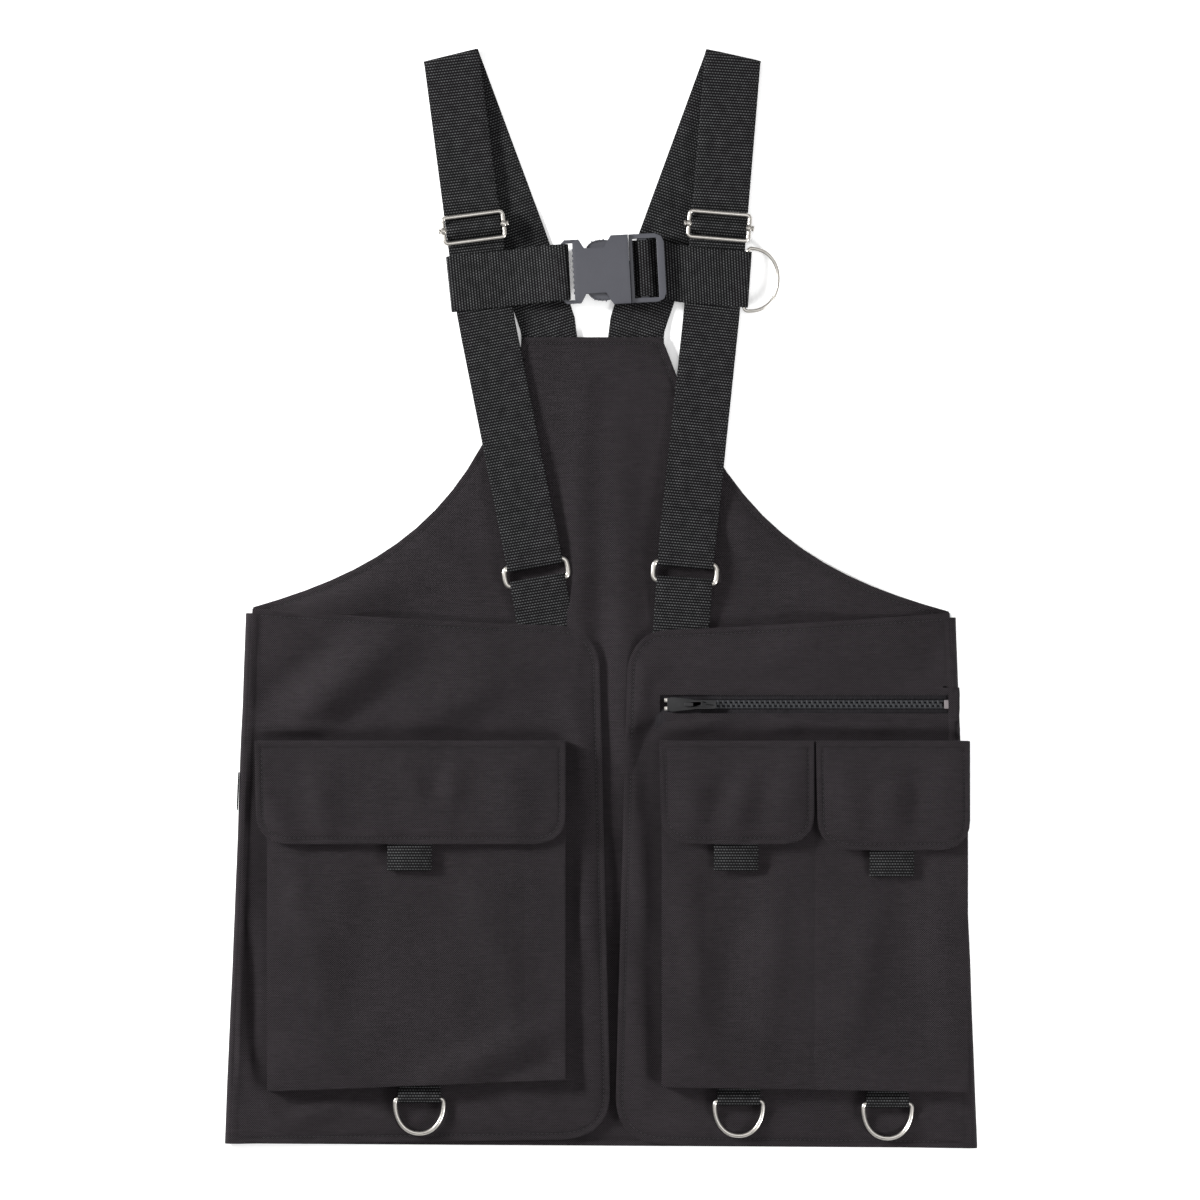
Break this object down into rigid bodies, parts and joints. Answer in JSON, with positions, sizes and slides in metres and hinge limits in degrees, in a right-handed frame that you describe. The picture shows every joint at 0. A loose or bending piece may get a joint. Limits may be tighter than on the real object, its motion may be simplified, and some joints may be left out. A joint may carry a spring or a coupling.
{
  "type": "safety harness vest",
  "caption": "Short work vest of plain dark cloth on webbing braces with a side-release chest buckle, flapped bellows pockets, a zip pocket and wire D rings, laid flat.",
  "frame": {"origin": "middle of the laid-flat vest's footprint, on the surface it rests on", "axes": "+Z out of the vest's front, +Y from the hem to the shoulder folds, +X towards the flat-lay's right"},
  "size_m": [0.511, 0.7476, 0.0201],
  "materials": {
    "cloth": "plain woven polyester",
    "webbing": "ribbed webbing",
    "patch_cloth": "hook and loop",
    "buckle_resin": "satin moulded",
    "zip_resin": "moulded teeth",
    "nickel": "nickel-plated wire",
    "painted_zinc": "black enamel"
  },
  "bodies": {
    "vest_back": {"back_shell": "cloth", "back_lining": "cloth", "left_side_fold": "cloth", "right_side_fold": "cloth", "left_side_loop": "webbing", "right_side_loop": "webbing", "left_shoulder_strap": "webbing", "right_shoulder_strap": "webbing", "left_lower_strap": "webbing", "right_lower_strap": "webbing", "left_chest_strap": "webbing", "right_chest_strap": "webbing", "buckle_socket": "buckle_resin"},
    "left_front": {"left_front_panel": "cloth", "left_pocket": "cloth", "left_flap_riser": "cloth", "left_loop_patch": "patch_cloth", "left_front_tab": "webbing", "left_hem_loop": "webbing"},
    "right_front": {"right_front_panel": "cloth", "right_pocket": "cloth", "right_flap_riser": "cloth", "inner_loop_patch": "patch_cloth", "outer_loop_patch": "patch_cloth", "right_front_tab": "webbing", "inner_hem_loop": "webbing", "outer_hem_loop": "webbing", "upper_zip_tape": "webbing", "lower_zip_tape": "webbing", "upper_zip_teeth": "zip_resin", "lower_zip_teeth": "zip_resin", "zip_end_stop": "zip_resin", "zip_pocket_bag": "cloth"},
    "left_flap_body": {"left_flap": "cloth", "left_hook_patch": "patch_cloth", "left_pull_tab": "webbing"},
    "inner_flap_body": {"inner_flap": "cloth", "inner_hook_patch": "patch_cloth", "inner_pull_tab": "webbing"},
    "outer_flap_body": {"outer_flap": "cloth", "outer_hook_patch": "patch_cloth", "outer_pull_tab": "webbing"},
    "left_hem_ring_body": {"left_hem_ring": "nickel"},
    "inner_hem_ring_body": {"inner_hem_ring": "nickel"},
    "outer_hem_ring_body": {"outer_hem_ring": "nickel"},
    "left_oval_ring_body": {"left_oval_ring": "nickel"},
    "right_oval_ring_body": {"right_oval_ring": "nickel"},
    "left_slider": {"left_slider_frame": "nickel", "left_slider_bar": "nickel", "left_slider_webbing": "webbing"},
    "right_slider": {"right_slider_frame": "nickel", "right_slider_bar": "nickel", "right_slider_webbing": "webbing"},
    "zip_slider_body": {"zip_slider": "painted_zinc"},
    "zip_pull_body": {"zip_pull": "painted_zinc"},
    "plug_body": {"buckle_plug": "buckle_resin"},
    "upper_arm_body": {"upper_release_arm": "buckle_resin"},
    "lower_arm_body": {"lower_release_arm": "buckle_resin"},
    "chest_ring_body": {"chest_ring": "nickel"}
  },
  "joints": [
    {"name": "left_front_open", "type": "hinge", "parent": "vest_back", "child": "left_front", "pos_m": [-0.2517, -0.37075, 0.0038], "axis": [-0.0397, -0.9992, 0], "range_deg": [0, 30], "deforming": ["left_side_fold", "left_lower_strap"]},
    {"name": "right_front_open", "type": "hinge", "parent": "vest_back", "child": "right_front", "pos_m": [0.2517, -0.37375, 0.0038], "axis": [-0.0397, 0.9992, 0], "range_deg": [0, 30], "deforming": ["right_side_fold", "right_lower_strap"]},
    {"name": "left_flap_lift", "type": "hinge", "parent": "left_front", "child": "left_flap_body", "pos_m": [-0.1298, -0.09695, 0.0193], "axis": [-1, 0, 0], "range_deg": [0, 150]},
    {"name": "inner_flap_lift", "type": "hinge", "parent": "right_front", "child": "inner_flap_body", "pos_m": [0.0915, -0.09695, 0.0193], "axis": [-1, 0, 0], "range_deg": [0, 150]},
    {"name": "outer_flap_lift", "type": "hinge", "parent": "right_front", "child": "outer_flap_body", "pos_m": [0.197, -0.09695, 0.0193], "axis": [-1, 0, 0], "range_deg": [0, 150]},
    {"name": "left_hem_ring_swing", "type": "hinge", "parent": "left_front", "child": "left_hem_ring_body", "pos_m": [-0.12326, -0.33974, 0.011], "axis": [-1, 0, 0], "range_deg": [0, 120]},
    {"name": "inner_hem_ring_swing", "type": "hinge", "parent": "right_front", "child": "inner_hem_ring_body", "pos_m": [0.09349, -0.34138, 0.011], "axis": [-1, 0, 0], "range_deg": [0, 120]},
    {"name": "outer_hem_ring_swing", "type": "hinge", "parent": "right_front", "child": "outer_hem_ring_body", "pos_m": [0.19448, -0.34308, 0.011], "axis": [-1, 0, 0], "range_deg": [0, 120]},
    {"name": "left_oval_ring_tilt", "type": "hinge", "parent": "left_front", "child": "left_oval_ring_body", "pos_m": [-0.04288, 0.0109, 0.007], "axis": [0.9848, 0.1736, 0], "range_deg": [0, 15], "deforming": ["left_lower_strap"]},
    {"name": "right_oval_ring_tilt", "type": "hinge", "parent": "right_front", "child": "right_oval_ring_body", "pos_m": [0.05655, 0.01082, 0.007], "axis": [0.9976, -0.0698, 0], "range_deg": [0, 15], "deforming": ["right_lower_strap"]},
    {"name": "zip_slide", "type": "slide", "parent": "right_front", "child": "zip_slider_body", "axis": [1, 0, 0], "range_m": [0, 0.168], "deforming": ["upper_zip_teeth", "lower_zip_teeth"]},
    {"name": "zip_pull_swing", "type": "hinge", "parent": "zip_slider_body", "child": "zip_pull_body", "pos_m": [0.0601, -0.07225, 0.01005], "axis": [0, -1, 0], "range_deg": [0, 170]},
    {"name": "left_slider_slide", "type": "slide", "parent": "vest_back", "child": "left_slider", "axis": [-0.1296, 0.9916, 0], "range_m": [-0.005, 0.085]},
    {"name": "right_slider_slide", "type": "slide", "parent": "vest_back", "child": "right_slider", "axis": [0.0824, 0.9966, 0], "range_m": [-0.005, 0.085]},
    {"name": "buckle_release", "type": "slide", "parent": "vest_back", "child": "plug_body", "axis": [0.9986, 0.0523, 0], "range_m": [0, 0.016], "deforming": ["right_chest_strap"]},
    {"name": "upper_release_arm_press", "type": "hinge", "parent": "plug_body", "child": "upper_arm_body", "pos_m": [0.01868, 0.23684, 0.0092], "axis": [0, 0, 1], "range_deg": [0, 8], "stiffness_Nm_per_rad": 0.4},
    {"name": "lower_release_arm_press", "type": "hinge", "parent": "plug_body", "child": "lower_arm_body", "pos_m": [0.02009, 0.20988, 0.0092], "axis": [0, 0, 1], "range_deg": [-8, 0], "stiffness_Nm_per_rad": 0.4},
    {"name": "chest_ring_swing", "type": "hinge", "parent": "vest_back", "child": "chest_ring_body", "pos_m": [0.09837, 0.21637, 0.00435], "axis": [-0.0705, -0.9975, 0], "range_deg": [0, 105]}
  ],
  "couplings": [
    {"joint": "lower_release_arm_press", "follows": "upper_release_arm_press", "ratio": -1}
  ]
}
